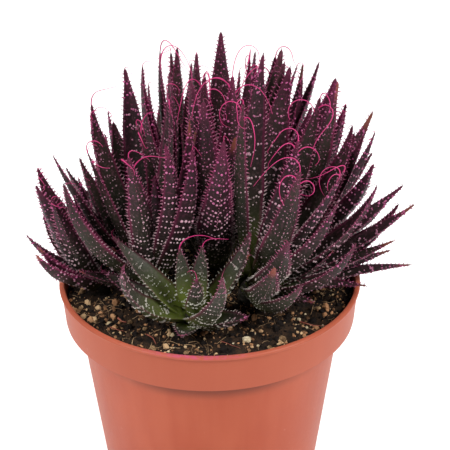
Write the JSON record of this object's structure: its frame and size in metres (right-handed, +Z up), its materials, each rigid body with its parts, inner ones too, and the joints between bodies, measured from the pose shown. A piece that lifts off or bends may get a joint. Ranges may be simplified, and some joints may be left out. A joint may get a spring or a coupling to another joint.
{
  "type": "potted lace aloe",
  "caption": "Dense clump of pointed, soft-toothed lace aloe rosettes in soil, in a tapered round nursery pot with a rolled rim band.",
  "frame": {"origin": "centre of the pot's underside, where it rests on the ground", "axes": "+Z up along the pot's axis, -Y towards the clump's front, where the small rosette grows"},
  "size_m": [0.1508, 0.1321, 0.1964],
  "materials": {
    "pot": "smooth moulded terracotta-coloured plastic with a satin sheen",
    "soil": null,
    "leaves": null
  },
  "bodies": {
    "root": {"pot": "pot", "soil": "soil", "rosette_front": "leaves", "rosette_right": "leaves", "rosette_middle": "leaves", "rosette_left_middle": "leaves", "rosette_left": "leaves", "rosette_back": "leaves", "rosette_back_left": "leaves", "rosette_back_right": "leaves"}
  },
  "joints": []
}
